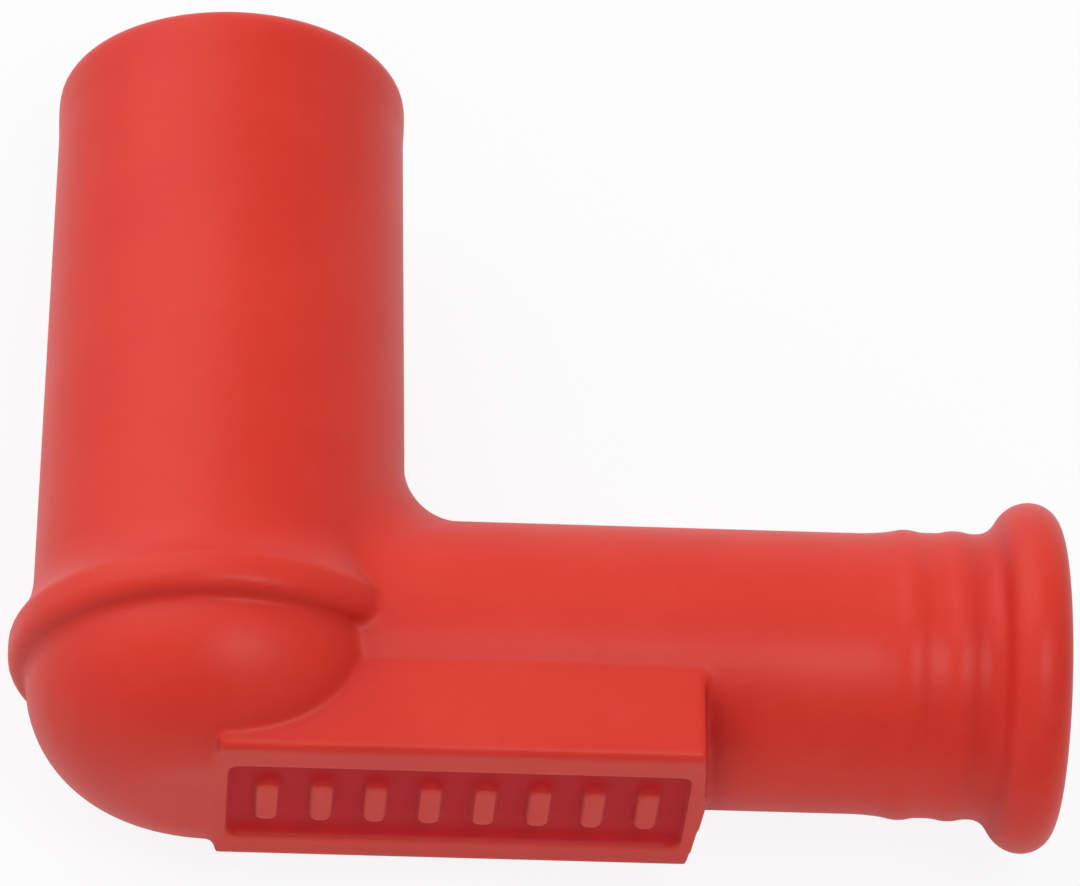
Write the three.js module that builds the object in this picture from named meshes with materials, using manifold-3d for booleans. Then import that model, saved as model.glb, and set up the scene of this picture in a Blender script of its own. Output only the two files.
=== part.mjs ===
// Right-angle spark plug cap: a boot moulded in silicone rubber over a plug terminal and a resistor.
// Millimetres, +Z up. The cap lies on its back, with the lead arm along +X and the plug arm along +Y.
// Everything is drawn about the crossing of the two arm axes, and moved to its final origin at the end.
import * as THREE from "three";
import { mergeVertices, toCreasedNormals } from "three/addons/utils/BufferGeometryUtils.js";
import Module from "manifold-3d";

const wasm = await Module();
wasm.setup();

// Gap between pieces that touch on the real cap
const CLEARANCE = 0.3;

// Plug arm of the boot, seen from outside
const PLUG_ARM_LENGTH = 41.9;
const PLUG_ARM_ROOT_RADIUS = 12;
const PLUG_ARM_MOUTH_RADIUS = 11.36;
const LIP_HEIGHT = 4;
const LIP_PROUD = 0.12;
const LIP_ROUNDING = 1.7;

// Domed bottom of the elbow, and the ring above it
const DOME_RADIUS = 12.2;
const DOME_ROUNDING = 8;
const DOME_DROP = 10.2;
const RING_RADIUS = 13.4;
const RING_FACE_HEIGHT = 0.8;
const RING_FOOT = -1.8;
const RING_EDGE = -0.2;
const RING_TOP = 3.8;
const RING_FLANK_BEND = 1.9;

// Lead arm of the boot, seen from outside
const LEAD_ARM_LENGTH = 53.8;
const LEAD_ARM_RADIUS = 9.03;
const RIB_BAND_LENGTH = 12.4;
const RIB_BAND_PROUD = 0.14;
const RIB_HEIGHT = 0.13;
const RIB_WIDTH = 1.8;
const RIB_PITCH = 3.2;
const LAST_RIB_FROM_MOUTH = 6.75;
const BEAD_RADIUS = 11.3;
const BEAD_WIDTH = 4.1;
const BEAD_BACK_ROUNDING = 2;
const BEAD_FRONT_ROUNDING = 1.9;
const BEAD_FLARE = 0.7;
const BEAD_FLANK_TURN = Math.PI / 3;
const CORNER_FILLET = 4.6;

// Block along the underside of the lead arm, with its recessed panel
const BLOCK_START = -0.4;
const BLOCK_LENGTH = 31.6;
const BLOCK_DROP = 10.3;
const BLOCK_HALF_DEPTH = 8.15;
const BLOCK_DRAFT = 0.6;
const BLOCK_EDGE_ROUNDING = 0.6;
const BLOCK_CORNER_ROUNDING = 1;
const PANEL_LENGTH = 29;
const PANEL_WIDTH = 10.4;
const PANEL_DEPTH = 0.7;
const PANEL_CORNER = 0.8;
const PANEL_BORDER = 1.3;
const BAR_COUNT = 8;
const BAR_WIDTH = 1.5;
const BAR_LENGTH = 5.4;
const BAR_PITCH = 3.45;

// Bore for the plug's insulator
const PLUG_BORE_RADIUS = 5.6;
const PLUG_ENTRY_RADIUS = 8.2;
const PLUG_ENTRY_DEPTH = 3.2;
const PLUG_SEAL_HEIGHT = 0.6;
const PLUG_SEAL_WIDTH = 1.6;
const PLUG_SEAL_PITCH = 3.2;
const PLUG_SEAL_FROM_MOUTH = 6.5;
const SEAL_COUNT = 3;

// Bore for the ignition lead
const LEAD_BORE_RADIUS = 3.5;
const LEAD_ENTRY_RADIUS = 4.6;
const LEAD_ENTRY_DEPTH = 1.6;
const LEAD_SEAL_HEIGHT = 0.3;
const LEAD_SEAL_WIDTH = 1.4;
const LEAD_SEAL_PITCH = 2.8;
const LEAD_SEAL_FROM_MOUTH = 4.4;

// Plug terminal: a brass socket on a flange and a stem
const SOCKET_RADIUS = 5;
const SOCKET_BORE_RADIUS = 3.35;
const SOCKET_DEPTH = 8.8;
const SOCKET_FLOOR = 1.8;
const SOCKET_CHAMFER = 0.5;
const FLANGE_RADIUS = 6;
const FLANGE_THICKNESS = 1.2;
const STEM_RADIUS = 1.9;
const STEM_REACH = 1.5;

// Wire clip round the socket, flattened where it passes the two windows
const CLIP_WIRE_RADIUS = 0.4;
const CLIP_SINK = 0.15;
const CLIP_GRIP = 0.2;
const CLIP_HEIGHT = 5.2;
const CLIP_OPENING = 0.5;

// Elbow contact: the brass slug where the two arms cross
const SLUG_RADIUS = 4;
const SLUG_BACK = 4.2;
const SPIGOT_RADIUS = 1.5;
const SPIGOT_LENGTH = 1.8;

// Contact spring
const SPRING_LENGTH = 5.6;
const SPRING_RADIUS = 2.3;
const SPRING_WIRE_RADIUS = 0.35;
const SPRING_TURNS = 4;

// Resistor: a ceramic rod with a metal cap on each end
const RESISTOR_RADIUS = 2.55;
const RESISTOR_LENGTH = 15;
const CAP_WALL = 0.45;
const CAP_FLOOR = 0.6;
const CAP_DEPTH = 3.2;

// Insulating tube that holds the spring and the resistor
const TUBE_WALL = 1.4;
const TUBE_FLANGE_RADIUS = 6.2;
const TUBE_FLANGE_THICKNESS = 1.4;

// Lead screw, which closes the tube and enters the lead's core
const SCREW_HEAD_THICKNESS = 3;
const SCREW_SLOT_WIDTH = 1;
const SCREW_SLOT_DEPTH = 0.8;
const SPIKE_RADIUS = 1.3;
const SPIKE_TIP_RADIUS = 0.25;
const SPIKE_LENGTH = 9;
const THREAD_HEIGHT = 0.45;
const THREAD_PITCH = 1.5;

// Places along the plug arm
const socketBase = SLUG_RADIUS + CLEARANCE;
const socketFloor = socketBase + SOCKET_FLOOR;
const socketTop = socketFloor + SOCKET_DEPTH;
const clipHeight = socketFloor + CLIP_HEIGHT;
const clipRadius = SOCKET_RADIUS - CLIP_SINK;
const clipFlat = SOCKET_BORE_RADIUS - CLIP_GRIP + CLIP_WIRE_RADIUS;
const pocketRadius = clipRadius + CLIP_WIRE_RADIUS + CLEARANCE;

// Places along the lead arm. The slug ends below the edge of the terminal's flange, so the tube clears both.
const slugFront = FLANGE_RADIUS;
const springStart = slugFront + CLEARANCE;
const resistorStart = springStart + SPRING_LENGTH + CLEARANCE;
const coreStart = resistorStart + CAP_FLOOR + CLEARANCE;
const coreEnd = coreStart + RESISTOR_LENGTH;
const resistorEnd = coreEnd + CLEARANCE + CAP_FLOOR;
const screwStart = resistorEnd + CLEARANCE;
const screwFace = screwStart + SCREW_HEAD_THICKNESS;
const spikeEnd = screwFace + SPIKE_LENGTH;
const capRadius = RESISTOR_RADIUS + CLEARANCE + CAP_WALL;
const tubeBore = capRadius + CLEARANCE;
const tubeRadius = tubeBore + TUBE_WALL;
const tubeStart = slugFront + CLEARANCE;
const leadBoreStart = screwFace + CLEARANCE;

// Number of flat faces round each kind of piece
const ARM_FACES = 48;
const BORE_FACES = 32;
const SMALL_FACES = 24;
const CURVE_STEPS = 4;
const FILLET_STEPS = 11;
const SEAL_STEPS = 2;
const OVERRUN = 1;

// Changes a closed geometry to a solid, with its faces pointing out.
function solidOf(geometry) {
  const bare = geometry.clone();
  bare.deleteAttribute("normal");
  bare.deleteAttribute("uv");
  const merged = mergeVertices(bare, 1e-4);
  const corners = merged.index.array;
  const triangles = [];
  for (let i = 0; i < corners.length; i += 3) {
    const [a, b, c] = corners.subarray(i, i + 3);
    if (a !== b && b !== c && c !== a) triangles.push(a, b, c);
  }
  const points = merged.attributes.position.array;
  const made = manifoldOf(points, triangles);
  return made.volume() > 0 ? made : manifoldOf(points, triangles.reverse());
}

function manifoldOf(points, triangles) {
  const mesh = new wasm.Mesh({ numProp: 3, vertProperties: points, triVerts: new Uint32Array(triangles) });
  return new wasm.Manifold(mesh);
}

// Changes a solid back to a geometry, with sharp edges kept sharp.
function geometryOf(solid) {
  const { vertProperties, triVerts } = solid.getMesh();
  const geometry = new THREE.BufferGeometry();
  geometry.setAttribute("position", new THREE.BufferAttribute(vertProperties, 3));
  geometry.setIndex(new THREE.BufferAttribute(triVerts, 1));
  return toCreasedNormals(geometry, Math.PI / 6);
}

// A body turned about the plug arm's axis, from an outline of radius against height.
function turnedAboutY(outline, faces, steps = CURVE_STEPS) {
  return solidOf(new THREE.LatheGeometry(outline.getPoints(steps), faces));
}

// A body turned about the lead arm's axis, from an outline of radius against distance along +X.
function turnedAboutX(outline, faces, steps = CURVE_STEPS) {
  const geometry = new THREE.LatheGeometry(outline.getPoints(steps), faces);
  return solidOf(geometry.rotateZ(-Math.PI / 2));
}

function box(sizeX, sizeY, sizeZ, x, y, z) {
  return solidOf(new THREE.BoxGeometry(sizeX, sizeY, sizeZ).translate(x, y, z));
}

// An outline of straight lines through points of radius and place, which starts and ends on the axis.
function steppedOutline(points) {
  return new THREE.Path(points.map(([radius, place]) => new THREE.Vector2(radius, place)));
}

// A skin over sections with equal numbers of points, closed at both ends with fans from their first points.
function loft(sections) {
  const count = sections[0].length;
  const positions = sections.flat().flatMap((point) => point.toArray());
  const index = [];
  for (let s = 0; s + 1 < sections.length; s += 1) {
    for (let i = 0; i < count; i += 1) {
      const a = s * count + i;
      const b = s * count + ((i + 1) % count);
      index.push(a, b, b + count, a, b + count, a + count);
    }
  }
  const last = (sections.length - 1) * count;
  for (let i = 1; i + 1 < count; i += 1) {
    index.push(0, i + 1, i, last, last + i, last + i + 1);
  }
  const geometry = new THREE.BufferGeometry();
  geometry.setAttribute("position", new THREE.Float32BufferAttribute(positions, 3));
  geometry.setIndex(index);
  return solidOf(geometry);
}

// Dome, ring, tapered wall and lip in one turned body
function plugArmBody() {
  const domeFlat = DOME_RADIUS - DOME_ROUNDING;
  const lipRadius = PLUG_ARM_MOUTH_RADIUS + LIP_PROUD;
  const lipFoot = PLUG_ARM_LENGTH - LIP_HEIGHT;
  const lipEnd = PLUG_ARM_LENGTH - LIP_ROUNDING;
  const flankRadius = (RING_RADIUS + 2 * wallRadius(RING_FLANK_BEND)) / 3;
  const outline = new THREE.Path();
  outline.moveTo(0, -DOME_DROP);
  outline.lineTo(domeFlat, -DOME_DROP);
  outline.absarc(domeFlat, DOME_ROUNDING - DOME_DROP, DOME_ROUNDING, -Math.PI / 2, 0);
  outline.lineTo(DOME_RADIUS, RING_FOOT);
  outline.quadraticCurveTo(RING_RADIUS, RING_FOOT, RING_RADIUS, RING_EDGE);
  outline.lineTo(RING_RADIUS, RING_EDGE + RING_FACE_HEIGHT);
  outline.quadraticCurveTo(flankRadius, RING_FLANK_BEND, wallRadius(RING_TOP), RING_TOP);
  outline.lineTo(wallRadius(lipFoot), lipFoot);
  outline.lineTo(lipRadius, lipFoot + LIP_HEIGHT / 4);
  outline.lineTo(lipRadius, lipEnd);
  outline.absarc(lipRadius - LIP_ROUNDING, lipEnd, LIP_ROUNDING, 0, Math.PI / 2);
  outline.lineTo(0, PLUG_ARM_LENGTH);
  return turnedAboutY(outline, ARM_FACES);
}

// The plug arm narrows evenly from its root to its mouth.
function wallRadius(height) {
  return THREE.MathUtils.lerp(PLUG_ARM_ROOT_RADIUS, PLUG_ARM_MOUTH_RADIUS, height / PLUG_ARM_LENGTH);
}

// Plain arm, two low ribs and the fat bead round the mouth
function leadArmBody() {
  const bandRadius = LEAD_ARM_RADIUS + RIB_BAND_PROUD;
  const beadBack = LEAD_ARM_LENGTH - BEAD_WIDTH + BEAD_BACK_ROUNDING;
  const beadFront = LEAD_ARM_LENGTH - BEAD_FRONT_ROUNDING;
  const flankRadius = BEAD_RADIUS - BEAD_BACK_ROUNDING * (1 - Math.cos(BEAD_FLANK_TURN));
  const flankEnd = beadBack - BEAD_BACK_ROUNDING * Math.sin(BEAD_FLANK_TURN);
  const flankFoot = flankEnd - (flankRadius - bandRadius) / Math.tan(BEAD_FLANK_TURN);
  const outline = new THREE.Path();
  outline.moveTo(0, 0);
  outline.lineTo(LEAD_ARM_RADIUS, 0);
  outline.lineTo(LEAD_ARM_RADIUS, LEAD_ARM_LENGTH - RIB_BAND_LENGTH);
  for (const ribsLeft of [1, 0]) {
    const middle = LEAD_ARM_LENGTH - LAST_RIB_FROM_MOUTH - ribsLeft * RIB_PITCH;
    outline.lineTo(bandRadius, middle - RIB_WIDTH / 2);
    outline.quadraticCurveTo(bandRadius + 2 * RIB_HEIGHT, middle, bandRadius, middle + RIB_WIDTH / 2);
  }
  outline.lineTo(bandRadius, flankFoot - BEAD_FLARE);
  outline.quadraticCurveTo(bandRadius, flankFoot, flankRadius, flankEnd);
  outline.absarc(BEAD_RADIUS - BEAD_BACK_ROUNDING, beadBack, BEAD_BACK_ROUNDING, -BEAD_FLANK_TURN, 0);
  outline.lineTo(BEAD_RADIUS, beadFront);
  outline.absarc(BEAD_RADIUS - BEAD_FRONT_ROUNDING, beadFront, BEAD_FRONT_ROUNDING, 0, Math.PI / 2);
  outline.lineTo(0, LEAD_ARM_LENGTH);
  return turnedAboutX(outline, ARM_FACES);
}

// Rolling-ball fillet along the inner corner, where the lead arm leaves the plug arm.
// The ball rolls round the lead arm's axis, sunk a little into both arms all the way.
function cornerFillet() {
  const sink = CLEARANCE / 10;
  const reach = LEAD_ARM_RADIUS + CORNER_FILLET - sink;
  const furthest = Math.acos((RING_EDGE + RING_TOP) / 2 / reach);
  const sections = [];
  for (let i = 0; i <= 2 * FILLET_STEPS; i += 1) {
    const turn = furthest * (i / FILLET_STEPS - 1);
    const y = reach * Math.cos(turn);
    const z = reach * Math.sin(turn);
    const x = Math.sqrt((wallRadius(y) + CORNER_FILLET - sink) ** 2 - z ** 2);
    const centre = new THREE.Vector3(x, y, z);
    const onPlugArm = new THREE.Vector3(-x, 0, -z).setLength(CORNER_FILLET);
    const onLeadArm = new THREE.Vector3(0, -y, -z).setLength(CORNER_FILLET);
    const root = centre.clone().addScaledVector(onPlugArm, 1.6).addScaledVector(onLeadArm, 1.6);
    const section = [root];
    for (let k = 0; k <= CURVE_STEPS; k += 1) {
      const share = k / CURVE_STEPS;
      const spoke = onPlugArm.clone().multiplyScalar(1 - share).addScaledVector(onLeadArm, share);
      section.push(centre.clone().add(spoke.setLength(CORNER_FILLET)));
    }
    sections.push(section);
  }
  return loft(sections);
}

// The block's outline at one depth: both ends lean in from the mould's parting plane,
// and its long lower edges are rounded over.
function blockSection(depth, drop) {
  const lean = (BLOCK_DRAFT * Math.abs(depth)) / BLOCK_HALF_DEPTH;
  const left = BLOCK_START + lean;
  const right = BLOCK_START + BLOCK_LENGTH - lean;
  const corner = right - BLOCK_CORNER_ROUNDING;
  const outline = new THREE.Path();
  outline.moveTo(left, 0);
  outline.lineTo(left, -drop);
  outline.lineTo(corner, -drop);
  outline.absarc(corner, BLOCK_CORNER_ROUNDING - drop, BLOCK_CORNER_ROUNDING, -Math.PI / 2, 0);
  outline.lineTo(right, 0);
  return outline.getPoints(CURVE_STEPS / 2).map((point) => new THREE.Vector3(point.x, point.y, depth));
}

function blockBody() {
  const flat = BLOCK_HALF_DEPTH - BLOCK_EDGE_ROUNDING;
  const sections = [blockSection(0, BLOCK_DROP)];
  for (let k = 0; k <= CURVE_STEPS; k += 1) {
    const turn = (Math.PI / 2) * (k / CURVE_STEPS);
    const depth = flat + BLOCK_EDGE_ROUNDING * Math.sin(turn);
    const drop = BLOCK_DROP - BLOCK_EDGE_ROUNDING * (1 - Math.cos(turn));
    sections.push(blockSection(depth, drop));
    sections.unshift(blockSection(-depth, drop));
  }
  return loft(sections);
}

// Flat pocket in the block's underside, with rounded corners
function panelPocket() {
  const left = BLOCK_START + PANEL_BORDER;
  const half = PANEL_WIDTH / 2;
  const outline = new THREE.Shape();
  outline.moveTo(left + PANEL_CORNER, -half);
  outline.lineTo(left + PANEL_LENGTH - PANEL_CORNER, -half);
  outline.absarc(left + PANEL_LENGTH - PANEL_CORNER, PANEL_CORNER - half, PANEL_CORNER, -Math.PI / 2, 0);
  outline.absarc(left + PANEL_LENGTH - PANEL_CORNER, half - PANEL_CORNER, PANEL_CORNER, 0, Math.PI / 2);
  outline.absarc(left + PANEL_CORNER, half - PANEL_CORNER, PANEL_CORNER, Math.PI / 2, Math.PI);
  outline.absarc(left + PANEL_CORNER, PANEL_CORNER - half, PANEL_CORNER, Math.PI, 1.5 * Math.PI);
  const options = { depth: PANEL_DEPTH + OVERRUN, bevelEnabled: false, curveSegments: CURVE_STEPS };
  const geometry = new THREE.ExtrudeGeometry(outline, options);
  return solidOf(geometry.rotateX(Math.PI / 2).translate(0, PANEL_DEPTH - BLOCK_DROP, 0));
}

// One plain raised grip bar with round ends, standing as high as the panel's border
function gripBar(number) {
  const middle = BLOCK_START + PANEL_BORDER + PANEL_LENGTH / 2 + (number - (BAR_COUNT - 1) / 2) * BAR_PITCH;
  const round = BAR_WIDTH / 2;
  const straight = BAR_LENGTH / 2 - round;
  const outline = new THREE.Shape();
  outline.absarc(middle, straight, round, 0, Math.PI);
  outline.absarc(middle, -straight, round, Math.PI, 2 * Math.PI);
  const options = { depth: PANEL_DEPTH * 2, bevelEnabled: false, curveSegments: CURVE_STEPS };
  const geometry = new THREE.ExtrudeGeometry(outline, options);
  return solidOf(geometry.rotateX(Math.PI / 2).translate(0, PANEL_DEPTH * 2 - BLOCK_DROP, 0));
}

// Adds soft half-round sealing ribs to the wall of a bore, each one standing in from the radius.
function addSeals(outline, radius, height, width, pitch, lastPlace) {
  for (let left = SEAL_COUNT - 1; left >= 0; left -= 1) {
    const middle = lastPlace - left * pitch;
    outline.lineTo(radius, middle - width / 2);
    outline.quadraticCurveTo(radius - 2 * height, middle, radius, middle + width / 2);
  }
}

// Hollow of the plug arm: stem hole, flange groove, socket pocket, insulator bore and flared entry
function plugArmHollow() {
  const grooveRadius = FLANGE_RADIUS + CLEARANCE;
  const grooveTop = socketBase + FLANGE_THICKNESS + CLEARANCE;
  const lastSeal = PLUG_ARM_LENGTH - PLUG_SEAL_FROM_MOUTH;
  const outline = new THREE.Path();
  outline.moveTo(0, 0);
  outline.lineTo(STEM_RADIUS + CLEARANCE, 0);
  outline.lineTo(STEM_RADIUS + CLEARANCE, socketBase - CLEARANCE);
  outline.lineTo(grooveRadius, socketBase - CLEARANCE);
  outline.lineTo(grooveRadius, grooveTop);
  outline.lineTo(pocketRadius, grooveTop);
  outline.lineTo(pocketRadius, socketTop + CLEARANCE);
  outline.lineTo(PLUG_BORE_RADIUS, socketTop + CLEARANCE);
  addSeals(outline, PLUG_BORE_RADIUS, PLUG_SEAL_HEIGHT, PLUG_SEAL_WIDTH, PLUG_SEAL_PITCH, lastSeal);
  outline.lineTo(PLUG_BORE_RADIUS, PLUG_ARM_LENGTH - PLUG_ENTRY_DEPTH);
  outline.lineTo(PLUG_ENTRY_RADIUS, PLUG_ARM_LENGTH);
  outline.lineTo(PLUG_ENTRY_RADIUS, PLUG_ARM_LENGTH + OVERRUN);
  outline.lineTo(0, PLUG_ARM_LENGTH + OVERRUN);
  return turnedAboutY(outline, BORE_FACES, SEAL_STEPS);
}

// Hollow of the lead arm: slug chamber, tube chamber with its flange groove, lead bore and flared entry
function leadArmHollow() {
  const chamberRadius = tubeRadius + CLEARANCE;
  const grooveStart = screwFace - TUBE_FLANGE_THICKNESS - CLEARANCE;
  const lastSeal = LEAD_ARM_LENGTH - LEAD_SEAL_FROM_MOUTH;
  const outline = new THREE.Path();
  outline.moveTo(0, -SLUG_BACK - CLEARANCE);
  outline.lineTo(SLUG_RADIUS + CLEARANCE, -SLUG_BACK - CLEARANCE);
  outline.lineTo(SLUG_RADIUS + CLEARANCE, tubeStart - CLEARANCE);
  outline.lineTo(chamberRadius, tubeStart - CLEARANCE);
  outline.lineTo(chamberRadius, grooveStart);
  outline.lineTo(TUBE_FLANGE_RADIUS + CLEARANCE, grooveStart);
  outline.lineTo(TUBE_FLANGE_RADIUS + CLEARANCE, leadBoreStart);
  outline.lineTo(LEAD_BORE_RADIUS, leadBoreStart);
  addSeals(outline, LEAD_BORE_RADIUS, LEAD_SEAL_HEIGHT, LEAD_SEAL_WIDTH, LEAD_SEAL_PITCH, lastSeal);
  outline.lineTo(LEAD_BORE_RADIUS, LEAD_ARM_LENGTH - LEAD_ENTRY_DEPTH);
  outline.lineTo(LEAD_ENTRY_RADIUS, LEAD_ARM_LENGTH);
  outline.lineTo(LEAD_ENTRY_RADIUS, LEAD_ARM_LENGTH + OVERRUN);
  outline.lineTo(0, LEAD_ARM_LENGTH + OVERRUN);
  return turnedAboutX(outline, BORE_FACES, SEAL_STEPS);
}

// The boot is one moulding: both arms, the corner fillet and the block, less the panel and the hollows.
function boot() {
  let body = plugArmBody().add(leadArmBody()).add(cornerFillet()).add(blockBody()).subtract(panelPocket());
  for (let number = 0; number < BAR_COUNT; number += 1) {
    body = body.add(gripBar(number));
  }
  return body.subtract(plugArmHollow()).subtract(leadArmHollow());
}

// Brass socket with a groove and two windows for its clip, a flange and a stem
function plugTerminal() {
  const grooveHalf = CLIP_WIRE_RADIUS + CLEARANCE;
  const grooveRadius = clipRadius - grooveHalf;
  const outline = steppedOutline([
    [0, -STEM_REACH],
    [STEM_RADIUS, -STEM_REACH],
    [STEM_RADIUS, socketBase],
    [FLANGE_RADIUS, socketBase],
    [FLANGE_RADIUS, socketBase + FLANGE_THICKNESS],
    [SOCKET_RADIUS, socketBase + FLANGE_THICKNESS],
    [SOCKET_RADIUS, clipHeight - grooveHalf],
    [grooveRadius, clipHeight - grooveHalf],
    [grooveRadius, clipHeight + grooveHalf],
    [SOCKET_RADIUS, clipHeight + grooveHalf],
    [SOCKET_RADIUS, socketTop],
    [SOCKET_BORE_RADIUS + SOCKET_CHAMFER, socketTop],
    [SOCKET_BORE_RADIUS, socketTop - SOCKET_CHAMFER],
    [SOCKET_BORE_RADIUS, socketFloor],
    [0, socketFloor],
  ]);
  const windowInside = clipFlat - grooveHalf;
  const windowSpan = 2 * (Math.sqrt(clipRadius ** 2 - clipFlat ** 2) + grooveHalf);
  const windowDepth = SOCKET_RADIUS + OVERRUN - windowInside;
  const windowMiddle = windowInside + windowDepth / 2;
  const left = box(windowDepth, 2 * grooveHalf, windowSpan, -windowMiddle, clipHeight, 0);
  const right = box(windowDepth, 2 * grooveHalf, windowSpan, windowMiddle, clipHeight, 0);
  return turnedAboutY(outline, SMALL_FACES).subtract(left).subtract(right);
}

// Path of the clip's wire: round the groove, straight across each window, and open on one side
class ClipPath extends THREE.Curve {
  getPoint(share) {
    const turn = CLIP_OPENING + share * (2 * Math.PI - 2 * CLIP_OPENING) - Math.PI / 2;
    const radius = Math.min(clipRadius, clipFlat / Math.max(Math.abs(Math.cos(turn)), 0.01));
    return new THREE.Vector3(radius * Math.cos(turn), clipHeight, radius * Math.sin(turn));
  }
}

// Path of a coil about the lead arm's axis
class CoilPath extends THREE.Curve {
  constructor(start, end, startRadius, endRadius, turns) {
    super();
    Object.assign(this, { start, end, startRadius, endRadius, turns });
  }

  getPoint(share) {
    const turn = 2 * Math.PI * this.turns * share;
    const radius = THREE.MathUtils.lerp(this.startRadius, this.endRadius, share);
    const x = THREE.MathUtils.lerp(this.start, this.end, share);
    return new THREE.Vector3(x, radius * Math.cos(turn), radius * Math.sin(turn));
  }
}

// A round or cornered wire swept along a path
function sweep(path, radius, sides, steps) {
  const outline = new THREE.Shape();
  for (let i = 0; i < sides; i += 1) {
    const turn = (2 * Math.PI * i) / sides;
    const point = [radius * Math.cos(turn), radius * Math.sin(turn)];
    if (i === 0) outline.moveTo(...point);
    else outline.lineTo(...point);
  }
  return solidOf(new THREE.ExtrudeGeometry(outline, { steps, bevelEnabled: false, extrudePath: path }));
}

function terminalClip() {
  return sweep(new ClipPath(), CLIP_WIRE_RADIUS, 6, 48);
}

// Brass slug with a hole for the terminal's stem and a spigot for the spring
function elbowContact() {
  const outline = steppedOutline([
    [0, -SLUG_BACK],
    [SLUG_RADIUS, -SLUG_BACK],
    [SLUG_RADIUS, slugFront],
    [SPIGOT_RADIUS, slugFront],
    [SPIGOT_RADIUS, slugFront + SPIGOT_LENGTH],
    [0, slugFront + SPIGOT_LENGTH],
  ]);
  const stemHole = steppedOutline([
    [0, -STEM_REACH - CLEARANCE],
    [STEM_RADIUS + CLEARANCE, -STEM_REACH - CLEARANCE],
    [STEM_RADIUS + CLEARANCE, SLUG_RADIUS + OVERRUN],
    [0, SLUG_RADIUS + OVERRUN],
  ]);
  return turnedAboutX(outline, SMALL_FACES).subtract(turnedAboutY(stemHole, SMALL_FACES));
}

function contactSpring() {
  const start = springStart + SPRING_WIRE_RADIUS;
  const end = springStart + SPRING_LENGTH - SPRING_WIRE_RADIUS;
  const path = new CoilPath(start, end, SPRING_RADIUS, SPRING_RADIUS, SPRING_TURNS);
  return sweep(path, SPRING_WIRE_RADIUS, 5, SPRING_TURNS * 16);
}

function resistorCore() {
  const outline = steppedOutline([
    [0, coreStart],
    [RESISTOR_RADIUS, coreStart],
    [RESISTOR_RADIUS, coreEnd],
    [0, coreEnd],
  ]);
  return turnedAboutX(outline, SMALL_FACES);
}

// A pressed metal cup over one end of the resistor, whose open side faces the given way along X
function resistorCap(floorPlace, facing) {
  const mouth = floorPlace + facing * (CAP_FLOOR + CAP_DEPTH);
  const inside = floorPlace + facing * CAP_FLOOR;
  const outline = steppedOutline([
    [0, floorPlace],
    [capRadius, floorPlace],
    [capRadius, mouth],
    [capRadius - CAP_WALL, mouth],
    [capRadius - CAP_WALL, inside],
    [0, inside],
  ]);
  return turnedAboutX(outline, SMALL_FACES);
}

// Moulded tube with a flange that anchors it in the rubber
function insulatingTube() {
  const flangeStart = screwFace - TUBE_FLANGE_THICKNESS;
  const outline = steppedOutline([
    [tubeBore, tubeStart],
    [tubeRadius, tubeStart],
    [tubeRadius, flangeStart],
    [TUBE_FLANGE_RADIUS, flangeStart],
    [TUBE_FLANGE_RADIUS, screwFace],
    [tubeBore, screwFace],
    [tubeBore, tubeStart],
  ]);
  return turnedAboutX(outline, SMALL_FACES);
}

// Slotted head with a tapered spike and a coarse thread, which winds into the lead's wire core
function leadScrew() {
  const headRadius = tubeBore - CLEARANCE;
  const slotFloor = screwFace - SCREW_SLOT_DEPTH;
  const head = steppedOutline([
    [0, screwStart],
    [headRadius, screwStart],
    [headRadius, screwFace],
    [0, screwFace],
  ]);
  const spike = steppedOutline([
    [0, slotFloor - SCREW_SLOT_DEPTH],
    [SPIKE_RADIUS, slotFloor - SCREW_SLOT_DEPTH],
    [SPIKE_RADIUS, screwFace],
    [SPIKE_TIP_RADIUS, spikeEnd],
    [0, spikeEnd],
  ]);
  const slot = box(2 * SCREW_SLOT_DEPTH, 4 * headRadius, SCREW_SLOT_WIDTH, slotFloor + SCREW_SLOT_DEPTH, 0, 0);
  const threadStart = screwFace + THREAD_PITCH / 2;
  const threadEnd = spikeEnd - THREAD_PITCH / 2;
  const turns = (threadEnd - threadStart) / THREAD_PITCH;
  const path = new CoilPath(threadStart, threadEnd, SPIKE_RADIUS, SPIKE_TIP_RADIUS + THREAD_HEIGHT / 2, turns);
  const thread = sweep(path, THREAD_HEIGHT, 3, Math.round(turns * 10));
  const slottedHead = turnedAboutX(head, SMALL_FACES).subtract(slot);
  return slottedHead.add(turnedAboutX(spike, SMALL_FACES)).add(thread);
}

const silicone = { color: 0xd9413a, roughness: 0.45, metalness: 0 };
const brass = { color: 0xc9a24a, roughness: 0.35, metalness: 1 };
const springSteel = { color: 0xb9bcc0, roughness: 0.3, metalness: 1 };
const tinnedSteel = { color: 0xcfd0cc, roughness: 0.4, metalness: 1 };
const ceramic = { color: 0xe9e3d5, roughness: 0.6, metalness: 0 };
const phenolic = { color: 0x2b2320, roughness: 0.5, metalness: 0 };

function piece(name, solid, finish) {
  const mesh = new THREE.Mesh(geometryOf(solid), new THREE.MeshStandardMaterial(finish));
  mesh.name = name;
  return mesh;
}

const cap = new THREE.Group();
cap.add(
  piece("boot", boot(), silicone),
  piece("plug_terminal", plugTerminal(), brass),
  piece("terminal_clip", terminalClip(), springSteel),
  piece("elbow_contact", elbowContact(), brass),
  piece("contact_spring", contactSpring(), springSteel),
  piece("resistor_core", resistorCore(), ceramic),
  piece("resistor_cap_spring_side", resistorCap(resistorStart, 1), tinnedSteel),
  piece("resistor_cap_lead_side", resistorCap(resistorEnd, -1), tinnedSteel),
  piece("insulating_tube", insulatingTube(), phenolic),
  piece("lead_screw", leadScrew(), brass),
);

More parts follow.
